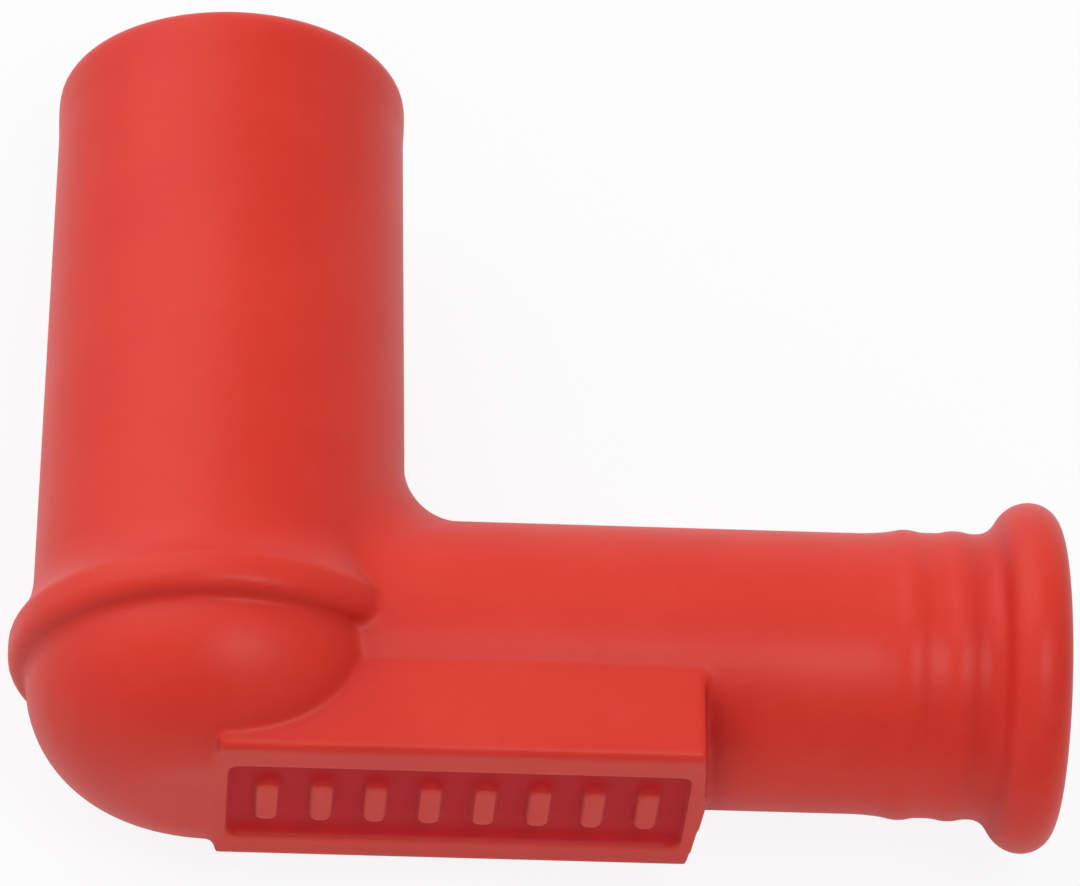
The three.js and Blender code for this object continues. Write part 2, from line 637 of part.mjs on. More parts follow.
// The origin moves to the middle of the cap's footprint, on the surface that the ring touches.
const lowest = Math.max(DOME_DROP, BLOCK_DROP, BEAD_RADIUS);
cap.position.set((RING_RADIUS - LEAD_ARM_LENGTH) / 2, (lowest - PLUG_ARM_LENGTH) / 2, RING_RADIUS);

export default cap;
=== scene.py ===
# Right-angle spark plug cap in moulded silicone rubber, lying on its back on a pale floor.
# Shapes are drawn in millimetres about the crossing of the two arm axes, with the lead arm along +X and the
# plug arm along +Y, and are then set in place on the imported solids.
import math

import bmesh
import bpy
from mathutils import Matrix, Vector


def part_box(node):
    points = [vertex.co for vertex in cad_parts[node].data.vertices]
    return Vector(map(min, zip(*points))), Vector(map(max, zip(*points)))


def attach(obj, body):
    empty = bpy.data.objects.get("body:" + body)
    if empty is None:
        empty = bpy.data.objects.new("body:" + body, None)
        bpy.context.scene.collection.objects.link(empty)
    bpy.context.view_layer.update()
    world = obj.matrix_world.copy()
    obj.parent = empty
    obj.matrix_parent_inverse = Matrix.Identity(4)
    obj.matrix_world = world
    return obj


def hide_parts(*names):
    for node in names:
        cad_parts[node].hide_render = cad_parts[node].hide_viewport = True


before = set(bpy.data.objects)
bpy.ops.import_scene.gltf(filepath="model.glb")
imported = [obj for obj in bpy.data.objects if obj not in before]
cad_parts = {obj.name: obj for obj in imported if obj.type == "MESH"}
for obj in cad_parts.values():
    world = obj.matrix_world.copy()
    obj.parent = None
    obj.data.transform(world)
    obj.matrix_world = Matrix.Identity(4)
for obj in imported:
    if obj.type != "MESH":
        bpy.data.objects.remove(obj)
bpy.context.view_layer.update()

MM = 0.001
GAP = 0.3

# Plug arm of the boot, with the dome and the ring
PLUG_LENGTH = 41.9
PLUG_ROOT = 12.0
PLUG_MOUTH = 11.36
LIP_HEIGHT = 4.0
LIP_PROUD = 0.12
LIP_ROUNDING = 1.7
DOME_RADIUS = 12.2
DOME_DROP = 10.2
DOME_ROUNDING = 8.0
RING_RADIUS = 13.4
RING_FOOT = -1.8
RING_FACE_END = 0.6
RING_FLANK_BEND = 1.9
RING_TOP = 3.8

# Lead arm of the boot, with its ribs and the bead at its mouth
LEAD_LENGTH = 53.8
LEAD_RADIUS = 9.03
RIB_BAND = 9.17
RIB_BAND_LENGTH = 12.4
RIB_HEIGHT = 0.17
RIB_HALF_FOOT = 0.9
RIB_HALF_CREST = 0.4
RIB_PITCH = 3.2
LAST_RIB_FROM_MOUTH = 6.75
BEAD_RADIUS = 11.3
BEAD_FOOT = 4.49
BEAD_SHOULDER = 3.25
CORNER_FILLET = 4.6

# Block on the lead arm's underside, with its panel and grip bars
BLOCK_START = -0.4
BLOCK_LENGTH = 31.6
BLOCK_DROP = 10.3
BLOCK_HALF = 8.15
BLOCK_DRAFT = 0.6
BLOCK_EDGE_ROUNDING = 0.6
BLOCK_CORNER_ROUNDING = 0.8
PANEL_LENGTH = 29.0
PANEL_WIDTH = 10.4
PANEL_DEPTH = 0.7
PANEL_BORDER = 1.3
PANEL_CORNER = 0.8
BAR_COUNT = 8
BAR_PITCH = 3.45
BAR_WIDTH = 1.5
BAR_LENGTH = 5.4
BAR_END_ROUNDING = 0.72
BAR_EDGE_ROUNDING = 0.15

# Bore for the plug, and bore for the ignition lead
PLUG_BORE = 5.6
PLUG_ENTRY_RADIUS = 8.1
PLUG_ENTRY_DEPTH = 3.2
PLUG_MOUTH_DIP = 0.12
PLUG_MOUTH_LAP = 1.5
PLUG_SEAL_HEIGHT = 0.6
PLUG_SEAL_WIDTH = 1.6
PLUG_SEAL_PITCH = 3.2
PLUG_SEAL_FROM_MOUTH = 6.5
LEAD_BORE = 3.5
LEAD_ENTRY_RADIUS = 4.6
LEAD_ENTRY_DEPTH = 1.6
LEAD_MOUTH_DIP = 0.1
LEAD_MOUTH_LAP = 1.2
LEAD_SEAL_HEIGHT = 0.3
LEAD_SEAL_WIDTH = 1.4
LEAD_SEAL_PITCH = 2.8
LEAD_SEAL_FROM_MOUTH = 4.4

# Terminal socket and its clip
STEM_RADIUS = 1.9
STEM_REACH = 1.5
FLANGE_RADIUS = 6.0
FLANGE_THICKNESS = 1.2
SOCKET_BASE = 4.3
SOCKET_FLOOR = 6.1
SOCKET_TOP = 14.9
SOCKET_RADIUS = 5.0
SOCKET_BORE = 3.35
SOCKET_CHAMFER = 0.5
CLIP_PLACE = 11.3
CLIP_RADIUS = 4.85
CLIP_FLAT = 3.55
CLIP_WIRE = 0.4
CLIP_OPENING = 0.5
WINDOW_HALF = 4.0
GROOVE_HALF = CLIP_WIRE + GAP

# Slug, insulating tube and lead screw
SLUG_RADIUS = 4.0
SLUG_BACK = 4.2
TUBE_CHAMBER_START = 6.0
TUBE_RADIUS = 5.0
TUBE_FLANGE_RADIUS = 6.2
TUBE_FLANGE_THICKNESS = 1.4
SCREW_START = 29.3
SCREW_FACE = 32.3
SCREW_HEAD = 3.3
SCREW_SLOT_DEPTH = 0.8
SCREW_SLOT_HALF = 0.5
SCREW_SLOT_REACH = 4.0
SPIKE_RADIUS = 1.3
SPIKE_TIP = 0.25
SPIKE_END = 41.3
THREAD_PITCH = 1.5
THREAD_TURNS = 5
THREAD_HALF = 0.42
THREAD_CREST = 1.72
THREAD_ROOT = 0.6
THREAD_TAPER = 0.72

# How far a cutting body passes the surface that it cuts
OVERRUN = 1.0
MOUTH_OVERRUN = 0.05

# Voxels that the boot's skin is made of
SKIN_GRAIN = 0.25

# The crossing of the arm axes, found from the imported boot
boot_low, boot_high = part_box("boot")
CROSSING = boot_low + Vector((RING_RADIUS, BEAD_RADIUS, RING_RADIUS)) * MM
TO_FRAME = Matrix.Translation(CROSSING) @ Matrix.Scale(MM, 4)
ALONG_LEAD_ARM = Matrix.Rotation(-math.pi / 2, 3, "Z")

# Camera at the photograph's viewing angle
CAMERA_AZIMUTH = math.radians(-6.553)
CAMERA_ELEVATION = math.radians(61.95)
CAMERA_ROLL = math.radians(7.529)
CAMERA_DISTANCE = 450.0
CAMERA_LENS = 230.02
AIM_POINT = Vector((22.0, 16.0, 0.0))
AIM_RIGHT = -1.377
AIM_UP = 0.092

# Lamps stand this many metres from the cap
LAMP_DISTANCE = 0.6


def camera_axes():
    level = math.cos(CAMERA_ELEVATION)
    forward = Vector((-math.sin(CAMERA_AZIMUTH) * level, math.cos(CAMERA_AZIMUTH) * level,
                      -math.sin(CAMERA_ELEVATION)))
    right = forward.cross(Vector((0, 0, 1))).normalized()
    roll = Matrix.Rotation(-CAMERA_ROLL, 3, forward)
    return roll @ right, roll @ right.cross(forward), forward


def place_camera():
    right, up, forward = camera_axes()
    data = bpy.data.cameras.new("photo_camera")
    data.sensor_fit = "HORIZONTAL"
    data.sensor_width = 36
    data.lens = CAMERA_LENS
    data.clip_start = 0.01
    camera = bpy.data.objects.new("photo_camera", data)
    bpy.context.scene.collection.objects.link(camera)
    place = AIM_POINT - forward * CAMERA_DISTANCE + right * AIM_RIGHT + up * AIM_UP
    turn = Matrix((right, up, -forward)).transposed()
    camera.matrix_world = Matrix.Translation(TO_FRAME @ place) @ turn.to_4x4()
    bpy.context.scene.camera = camera


# Mesh helpers
def new_object(name, bm):
    mesh = bpy.data.meshes.new(name)
    bm.to_mesh(mesh)
    bm.free()
    made = bpy.data.objects.new(name, mesh)
    bpy.context.scene.collection.objects.link(made)
    return made


def round_corner(bm, corners, radius, steps=6, affect="VERTICES"):
    """Rounds corner points of an outline, or edges of a solid."""
    bmesh.ops.bevel(bm, geom=corners, offset=radius, offset_type="OFFSET", segments=steps, profile=0.5,
                    affect=affect, material=-1, clamp_overlap=True)


def turned(name, outline, along_lead=False, steps=160):
    """A turned body from corners of (radius, place) or (radius, place, rounding), closed on the axis."""
    bm = bmesh.new()
    points = [bm.verts.new((corner[0], corner[1], 0)) for corner in outline]
    for start, end in zip(points, points[1:]):
        bm.edges.new((start, end))
    for point, corner in zip(points, outline):
        if len(corner) > 2:
            round_corner(bm, [point], corner[2], steps=max(4, round(corner[2] * 3)))
    bmesh.ops.spin(bm, geom=bm.verts[:] + bm.edges[:], cent=(0, 0, 0), axis=(0, 1, 0), angle=2 * math.pi,
                   steps=steps, use_merge=True)
    bmesh.ops.remove_doubles(bm, verts=bm.verts[:], dist=1e-4)
    bmesh.ops.dissolve_degenerate(bm, edges=bm.edges[:], dist=1e-5)
    if along_lead:
        bmesh.ops.rotate(bm, verts=bm.verts[:], matrix=ALONG_LEAD_ARM)
    bmesh.ops.recalc_face_normals(bm, faces=bm.faces[:])
    return new_object(name, bm)


def block(low, high):
    """A plain block between two corners, as a bmesh that is shaped further."""
    bm = bmesh.new()
    bmesh.ops.create_cube(bm, size=1)
    low, high = Vector(low), Vector(high)
    bmesh.ops.scale(bm, vec=high - low, verts=bm.verts[:])
    bmesh.ops.translate(bm, vec=(low + high) / 2, verts=bm.verts[:])
    return bm


def apply_modifiers(piece):
    depsgraph = bpy.context.evaluated_depsgraph_get()
    mesh = bpy.data.meshes.new_from_object(piece.evaluated_get(depsgraph))
    piece.modifiers.clear()
    piece.data = mesh


def combine(piece, others, operation):
    """Joins other bodies to a piece, or cuts them from it, and then removes them."""
    for other in others:
        modifier = piece.modifiers.new(other.name, "BOOLEAN")
        modifier.operation = operation
        modifier.solver = "MANIFOLD"
        modifier.object = other
    apply_modifiers(piece)
    for other in others:
        bpy.data.objects.remove(other)


def clean(mesh):
    """Makes every face a triangle, and takes out the faces without area that cuts leave behind."""
    bm = bmesh.new()
    bm.from_mesh(mesh)
    bmesh.ops.remove_doubles(bm, verts=bm.verts[:], dist=1e-4)
    bmesh.ops.triangulate(bm, faces=bm.faces[:])
    bmesh.ops.dissolve_degenerate(bm, edges=bm.edges[:], dist=1e-4)
    bmesh.ops.triangulate(bm, faces=bm.faces[:])
    bm.to_mesh(mesh)
    bm.free()


def finish_piece(piece, material, nodes):
    """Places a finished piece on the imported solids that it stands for, with its material."""
    clean(piece.data)
    piece.data.transform(TO_FRAME)
    piece.data.materials.clear()
    piece.data.materials.append(material)
    piece.data.shade_smooth()
    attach(piece, "root")
    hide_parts(*nodes)


def smooth_by_angle(piece):
    piece.data.shade_smooth()
    piece.data.set_sharp_from_angle(angle=math.radians(35))


# Boot
def wall(place):
    """Radius of the tapered plug arm at a place along it."""
    return PLUG_ROOT + (PLUG_MOUTH - PLUG_ROOT) * place / PLUG_LENGTH


def plug_arm():
    lip = PLUG_MOUTH + LIP_PROUD
    lip_foot = PLUG_LENGTH - LIP_HEIGHT
    return turned("plug_arm", [
        (0, -DOME_DROP),
        (DOME_RADIUS, -DOME_DROP, DOME_ROUNDING),
        (DOME_RADIUS, RING_FOOT, 0.05),
        (RING_RADIUS, RING_FOOT + 0.05, 1.1),
        (RING_RADIUS, RING_FACE_END, 0.25),
        ((RING_RADIUS + 2 * wall(RING_FLANK_BEND)) / 3, RING_FLANK_BEND, 1.0),
        (wall(RING_TOP), RING_TOP, 0.9),
        (wall(lip_foot), lip_foot, 0.4),
        (lip, lip_foot + LIP_HEIGHT / 4, 0.4),
        (lip, PLUG_LENGTH, LIP_ROUNDING),
        (0, PLUG_LENGTH),
    ])


def lead_arm():
    outline = [(0, 0), (LEAD_RADIUS, 0), (LEAD_RADIUS, LEAD_LENGTH - RIB_BAND_LENGTH, 0.4)]
    last_rib = LEAD_LENGTH - LAST_RIB_FROM_MOUTH
    for middle in (last_rib - RIB_PITCH, last_rib):
        outline += [
            (RIB_BAND, middle - RIB_HALF_FOOT, 0.2),
            (RIB_BAND + RIB_HEIGHT, middle - RIB_HALF_CREST, 0.25),
            (RIB_BAND + RIB_HEIGHT, middle + RIB_HALF_CREST, 0.25),
            (RIB_BAND, middle + RIB_HALF_FOOT, 0.2),
        ]
    outline += [
        (RIB_BAND, LEAD_LENGTH - BEAD_FOOT, 0.7),
        (BEAD_RADIUS, LEAD_LENGTH - BEAD_SHOULDER, 1.15),
        (BEAD_RADIUS, LEAD_LENGTH, 1.9),
        (0, LEAD_LENGTH),
    ]
    return turned("lead_arm", outline, along_lead=True)


def corner_fillet():
    """Fillet along the inner corner: a ball rolled round the lead arm while it touches both arms. It stops
    near the arms' middle plane, and each section reaches into both arms, so that they join as solids."""
    reach = LEAD_RADIUS + CORNER_FILLET
    last_height = 1.4
    furthest = math.acos(last_height / reach)
    inside = 1.4 * CORNER_FILLET
    sink = 0.02
    steps, arc_steps = 48, 12
    bm = bmesh.new()
    loops = []
    for i in range(steps + 1):
        turn = furthest * (2 * i / steps - 1)
        height, depth = reach * math.cos(turn), reach * math.sin(turn)
        aside = math.sqrt((wall(height) + CORNER_FILLET) ** 2 - depth ** 2)
        centre = Vector((aside, height, depth))
        to_plug_arm = Vector((-aside, 0, -depth)).normalized()
        to_lead_arm = Vector((0, -height, -depth)).normalized()
        section = [bm.verts.new(centre + (to_plug_arm + to_lead_arm) * inside)]
        for k in range(arc_steps + 1):
            spoke = to_plug_arm.lerp(to_lead_arm, k / arc_steps).normalized()
            section.append(bm.verts.new(centre + spoke * (CORNER_FILLET + sink)))
        ring = [bm.edges.new((a, b)) for a, b in zip(section, section[1:] + section[:1])]
        loops.append(ring)
    for first, second in zip(loops, loops[1:]):
        bmesh.ops.bridge_loops(bm, edges=first + second)
    for ring in (loops[0], loops[-1]):
        bmesh.ops.contextual_create(bm, geom=ring)
    bmesh.ops.triangulate(bm, faces=bm.faces[:])
    bmesh.ops.recalc_face_normals(bm, faces=bm.faces[:])
    return new_object("corner_fillet", bm)


def side_block():
    """Block with its ends drafted both ways from the mould's parting plane, and its lower edges rounded."""
    end = BLOCK_START + BLOCK_LENGTH
    bm = block((BLOCK_START, -BLOCK_DROP, -BLOCK_HALF), (end, 0, BLOCK_HALF))
    bmesh.ops.bisect_plane(bm, geom=bm.verts[:] + bm.edges[:] + bm.faces[:], plane_co=(0, 0, 0),
                           plane_no=(0, 0, 1))
    middle = BLOCK_START + BLOCK_LENGTH / 2
    for vert in bm.verts:
        if abs(vert.co.z) > 1:
            vert.co.x += BLOCK_DRAFT if vert.co.x < middle else -BLOCK_DRAFT
    lower = [edge for edge in bm.edges if all(v.co.y < -1 and abs(v.co.z) > 1 for v in edge.verts)
             and abs(edge.verts[0].co.x - edge.verts[1].co.x) > 1]
    round_corner(bm, lower, BLOCK_EDGE_ROUNDING, steps=6, affect="EDGES")
    outer = [edge for edge in bm.edges if all(v.co.y < 1 - BLOCK_DROP and v.co.x > middle for v in edge.verts)
             and abs(edge.verts[0].co.z - edge.verts[1].co.z) > 1]
    round_corner(bm, outer, BLOCK_CORNER_ROUNDING, steps=6, affect="EDGES")
    bmesh.ops.triangulate(bm, faces=bm.faces[:])
    bmesh.ops.recalc_face_normals(bm, faces=bm.faces[:])
    return new_object("side_block", bm)


def upright_edges(bm):
    """Edges that run at right angles to the panel."""
    return [edge for edge in bm.edges if abs(edge.verts[0].co.y - edge.verts[1].co.y) > 0.3]


def panel_pocket():
    left = BLOCK_START + PANEL_BORDER
    bm = block((left, -BLOCK_DROP - OVERRUN, -PANEL_WIDTH / 2),
               (left + PANEL_LENGTH, PANEL_DEPTH - BLOCK_DROP, PANEL_WIDTH / 2))
    round_corner(bm, upright_edges(bm), PANEL_CORNER, steps=6, affect="EDGES")
    bmesh.ops.triangulate(bm, faces=bm.faces[:])
    return new_object("panel_pocket", bm)


def grip_bar(number):
    """One plain raised grip bar with round ends, standing as high as the panel's border."""
    middle = BLOCK_START + PANEL_BORDER + PANEL_LENGTH / 2 + (number - (BAR_COUNT - 1) / 2) * BAR_PITCH
    bm = block((middle - BAR_WIDTH / 2, -BLOCK_DROP, -BAR_LENGTH / 2),
               (middle + BAR_WIDTH / 2, OVERRUN - BLOCK_DROP, BAR_LENGTH / 2))
    round_corner(bm, upright_edges(bm), BAR_END_ROUNDING, steps=8, affect="EDGES")
    outer = [edge for edge in bm.edges if all(v.co.y < 0.1 - BLOCK_DROP for v in edge.verts)]
    round_corner(bm, outer, BAR_EDGE_ROUNDING, steps=3, affect="EDGES")
    bmesh.ops.triangulate(bm, faces=bm.faces[:])
    return new_object("grip_bar_%d" % number, bm)


def seals(radius, height, width, pitch, last):
    """Soft sealing ribs that stand in from the wall of a bore. Rounding takes the top off each crest, so its
    corner is drawn higher."""
    crest = radius - 1.35 * height
    corners = []
    for middle in (last - 2 * pitch, last - pitch, last):
        corners += [
            (radius, middle - width / 2, 0.2),
            (crest, middle, width * 0.38),
            (radius, middle + width / 2, 0.2),
        ]
    return corners


def plug_hollow():
    """Hollow of the plug arm: stem hole, flange groove, socket pocket, insulator bore and flared entry. The
    entry's edge bends out along the mouth's face."""
    stem, groove = STEM_RADIUS + GAP, FLANGE_RADIUS + GAP
    pocket = CLIP_RADIUS + CLIP_WIRE + GAP
    groove_start, groove_end = SOCKET_BASE - GAP, SOCKET_BASE + FLANGE_THICKNESS + GAP
    pocket_end = SOCKET_TOP + GAP
    end = PLUG_LENGTH + MOUTH_OVERRUN
    seal_ribs = seals(PLUG_BORE, PLUG_SEAL_HEIGHT, PLUG_SEAL_WIDTH, PLUG_SEAL_PITCH,
                      PLUG_LENGTH - PLUG_SEAL_FROM_MOUTH)
    return turned("plug_hollow", [
        (0, 0), (stem, 0), (stem, groove_start), (groove, groove_start), (groove, groove_end),
        (pocket, groove_end), (pocket, pocket_end), (PLUG_BORE, pocket_end),
    ] + seal_ribs + [
        (PLUG_BORE, PLUG_LENGTH - PLUG_ENTRY_DEPTH, 0.8),
        (PLUG_ENTRY_RADIUS, PLUG_LENGTH - PLUG_MOUTH_DIP, 0.7),
        (PLUG_ENTRY_RADIUS + PLUG_MOUTH_LAP, end), (0, end),
    ], steps=128)


def lead_hollow():
    """Hollow of the lead arm: slug chamber, tube chamber, flange groove, lead bore and flared entry."""
    back, slug = -SLUG_BACK - GAP, SLUG_RADIUS + GAP
    tube, flange = TUBE_RADIUS + GAP, TUBE_FLANGE_RADIUS + GAP
    groove_start, groove_end = SCREW_FACE - TUBE_FLANGE_THICKNESS - GAP, SCREW_FACE + GAP
    end = LEAD_LENGTH + MOUTH_OVERRUN
    seal_ribs = seals(LEAD_BORE, LEAD_SEAL_HEIGHT, LEAD_SEAL_WIDTH, LEAD_SEAL_PITCH,
                      LEAD_LENGTH - LEAD_SEAL_FROM_MOUTH)
    return turned("lead_hollow", [
        (0, back), (slug, back), (slug, TUBE_CHAMBER_START), (tube, TUBE_CHAMBER_START), (tube, groove_start),
        (flange, groove_start), (flange, groove_end), (LEAD_BORE, groove_end),
    ] + seal_ribs + [
        (LEAD_BORE, LEAD_LENGTH - LEAD_ENTRY_DEPTH, 0.5),
        (LEAD_ENTRY_RADIUS, LEAD_LENGTH - LEAD_MOUTH_DIP, 0.5),
        (LEAD_ENTRY_RADIUS + LEAD_MOUTH_LAP, end), (0, end),
    ], along_lead=True, steps=128)


def make_boot(material):
    """The whole moulding in one skin, whose inner and outer corners are softened as moulded rubber's are."""
    boot = plug_arm()
    boot.name = "silicone_boot"
    combine(boot, [lead_arm(), corner_fillet(), side_block()], "UNION")
    combine(boot, [panel_pocket()], "DIFFERENCE")
    combine(boot, [grip_bar(number) for number in range(BAR_COUNT)], "UNION")
    skin = boot.modifiers.new("skin", "REMESH")
    skin.mode = "VOXEL"
    skin.voxel_size = SKIN_GRAIN
    skin.adaptivity = 0
    soften = boot.modifiers.new("soften", "SMOOTH")
    soften.factor = 0.5
    soften.iterations = 5
    thin = boot.modifiers.new("thin", "DECIMATE")
    thin.ratio = 0.5
    apply_modifiers(boot)
    combine(boot, [plug_hollow(), lead_hollow()], "DIFFERENCE")
    finish_piece(boot, material, ["boot"])
    smooth_by_angle(boot)


# Pieces inside, as far as the mouths show them
def make_socket(material):
    """Brass socket with a groove and two windows for its clip, a flange and a stem."""
    low_side, high_side = CLIP_PLACE - GROOVE_HALF, CLIP_PLACE + GROOVE_HALF
    groove_floor = CLIP_RADIUS - GROOVE_HALF
    flange_end = SOCKET_BASE + FLANGE_THICKNESS
    socket = turned("terminal_socket", [
        (0, -STEM_REACH), (STEM_RADIUS, -STEM_REACH, 0.3), (STEM_RADIUS, SOCKET_BASE),
        (FLANGE_RADIUS, SOCKET_BASE, 0.2), (FLANGE_RADIUS, flange_end, 0.2), (SOCKET_RADIUS, flange_end),
        (SOCKET_RADIUS, low_side, 0.1), (groove_floor, low_side), (groove_floor, high_side),
        (SOCKET_RADIUS, high_side, 0.1), (SOCKET_RADIUS, SOCKET_TOP, 0.3),
        (SOCKET_BORE + SOCKET_CHAMFER, SOCKET_TOP, 0.1), (SOCKET_BORE, SOCKET_TOP - SOCKET_CHAMFER, 0.1),
        (SOCKET_BORE, SOCKET_FLOOR), (0, SOCKET_FLOOR),
    ], steps=96)
    windows = []
    for side in (-1, 1):
        near, far = sorted((side * (CLIP_FLAT - GROOVE_HALF), side * (SOCKET_RADIUS + OVERRUN)))
        bm = block((near, low_side, -WINDOW_HALF), (far, high_side, WINDOW_HALF))
        bmesh.ops.triangulate(bm, faces=bm.faces[:])
        windows.append(new_object("window", bm))
    combine(socket, windows, "DIFFERENCE")
    finish_piece(socket, material, ["plug_terminal"])
    smooth_by_angle(socket)


def wire(name, points, radius):
    """A closed-ended round wire along points."""
    curve = bpy.data.curves.new(name, "CURVE")
    curve.dimensions = "3D"
    curve.bevel_depth = radius
    curve.bevel_resolution = 5
    curve.use_fill_caps = True
    spline = curve.splines.new("POLY")
    spline.points.add(len(points) - 1)
    for place, point in zip(spline.points, points):
        place.co = (*point, 1)
    source = bpy.data.objects.new(name, curve)
    bpy.context.scene.collection.objects.link(source)
    depsgraph = bpy.context.evaluated_depsgraph_get()
    mesh = bpy.data.meshes.new_from_object(source.evaluated_get(depsgraph))
    bpy.data.objects.remove(source)
    made = bpy.data.objects.new(name, mesh)
    bpy.context.scene.collection.objects.link(made)
    return made


def make_clip(material):
    """Wire clip round the socket, straight where it passes the two windows."""
    points = []
    steps = 120
    for i in range(steps + 1):
        turn = CLIP_OPENING + 2 * (math.pi - CLIP_OPENING) * i / steps - math.pi / 2
        radius = min(CLIP_RADIUS, CLIP_FLAT / max(abs(math.cos(turn)), 0.01))
        points.append((radius * math.cos(turn), CLIP_PLACE, radius * math.sin(turn)))
    clip = wire("wire_clip", points, CLIP_WIRE)
    finish_piece(clip, material, ["terminal_clip"])


def make_screw(material):
    """Slotted head with a tapered spike, and a coarse thread swept round it."""
    screw = turned("brass_screw", [
        (0, SCREW_START), (SCREW_HEAD, SCREW_START, 0.2), (SCREW_HEAD, SCREW_FACE, 0.25),
        (SPIKE_RADIUS, SCREW_FACE, 0.1), (SPIKE_TIP, SPIKE_END, 0.1), (0, SPIKE_END),
    ], along_lead=True, steps=64)
    slots = []
    for low, high in ((-SCREW_SLOT_REACH, -SPIKE_RADIUS), (SPIKE_RADIUS, SCREW_SLOT_REACH)):
        bm = block((SCREW_FACE - SCREW_SLOT_DEPTH, low, -SCREW_SLOT_HALF),
                   (SCREW_FACE + SCREW_SLOT_DEPTH, high, SCREW_SLOT_HALF))
        bmesh.ops.triangulate(bm, faces=bm.faces[:])
        slots.append(new_object("slot", bm))
    combine(screw, slots, "DIFFERENCE")
    thread = bmesh.new()
    start = SCREW_FACE + THREAD_PITCH / 2
    corners = ((-THREAD_HALF, THREAD_ROOT), (0, THREAD_CREST), (THREAD_HALF, THREAD_ROOT))
    thread.faces.new([thread.verts.new((start + along, radius, 0)) for along, radius in corners])
    turn_steps = 36
    bmesh.ops.spin(thread, geom=thread.verts[:] + thread.edges[:] + thread.faces[:], cent=(0, 0, 0),
                   axis=(1, 0, 0), dvec=(THREAD_PITCH / turn_steps, 0, 0), angle=2 * math.pi * THREAD_TURNS,
                   steps=turn_steps * THREAD_TURNS)
    for vert in thread.verts:
        share = (vert.co.x - start) / (SPIKE_END - start)
        shrink = 1 - THREAD_TAPER * min(max(share, 0), 1)
        vert.co.y *= shrink
        vert.co.z *= shrink
    bmesh.ops.triangulate(thread, faces=thread.faces[:])
    bmesh.ops.recalc_face_normals(thread, faces=thread.faces[:])
    combine(screw, [new_object("thread", thread)], "UNION")
    finish_piece(screw, material, ["lead_screw"])
    smooth_by_angle(screw)


# Materials
def colour(code):
    """An sRGB hex colour as linear red, green, blue and alpha."""
    parts = [int(code[i:i + 2], 16) / 255 for i in (0, 2, 4)]
    return [c / 12.92 if c <= 0.04045 else ((c + 0.055) / 1.055) ** 2.4 for c in parts] + [1.0]


def add(tree, kind, settings=None, **links):
    """Adds a node with its settings, and gives its inputs values or links by name."""
    made = tree.nodes.new(kind)
    for key, value in (settings or {}).items():
        setattr(made, key, value)
    for key, value in links.items():
        name = key.replace("_", " ")
        sockets = [s for s in made.inputs if s.name == name and s.enabled]
        several = isinstance(value, list) and any(hasattr(source, "links") for source in value)
        for source, socket in zip(value if several else [value], sockets):
            if hasattr(source, "links"):
                tree.links.new(source, socket)
            else:
                socket.default_value = source
    return made


def start_material(name):
    """An empty node material, with object coordinates in millimetres."""
    material = bpy.data.materials.new(name)
    material.use_nodes = True
    tree = material.node_tree
    tree.nodes.clear()
    place = add(tree, "ShaderNodeTexCoord").outputs["Object"]
    millimetres = add(tree, "ShaderNodeMapping", Vector=place, Scale=(1000, 1000, 1000)).outputs["Vector"]
    return material, tree, millimetres


def close_material(tree, **inputs):
    shader = add(tree, "ShaderNodeBsdfPrincipled", **inputs)
    add(tree, "ShaderNodeOutputMaterial", Surface=shader.outputs["BSDF"])


def within(tree, place, low, high, fade):
    """1 between two places and 0 beyond them, with a fade outwards from each."""
    past_low = add(tree, "ShaderNodeMapRange", Value=place, From_Min=low - fade, From_Max=low)
    short_of_high = add(tree, "ShaderNodeMapRange", Value=place, From_Min=high, From_Max=high + fade,
                        To_Min=1.0, To_Max=0.0)
    return add(tree, "ShaderNodeMath", {"operation": "MULTIPLY"},
               Value=[past_low.outputs["Result"], short_of_high.outputs["Result"]]).outputs[0]


def panel_floor_mask(tree, mm):
    """1 on the floor of the block's panel and 0 elsewhere, from the panel's place in the frame."""
    low = CROSSING / MM + Vector((BLOCK_START + PANEL_BORDER, -BLOCK_DROP, -PANEL_WIDTH / 2))
    high = low + Vector((PANEL_LENGTH, PANEL_DEPTH, PANEL_WIDTH))
    place = add(tree, "ShaderNodeSeparateXYZ", Vector=mm).outputs
    along = within(tree, place["X"], low.x - 0.1, high.x + 0.1, 0.2)
    across = within(tree, place["Z"], low.z - 0.1, high.z + 0.1, 0.2)
    sunk = within(tree, place["Y"], low.y + 0.45, high.y + 0.3, 0.25)
    outline = add(tree, "ShaderNodeMath", {"operation": "MULTIPLY"}, Value=[along, across]).outputs[0]
    return add(tree, "ShaderNodeMath", {"operation": "MULTIPLY"}, Value=[outline, sunk]).outputs[0]


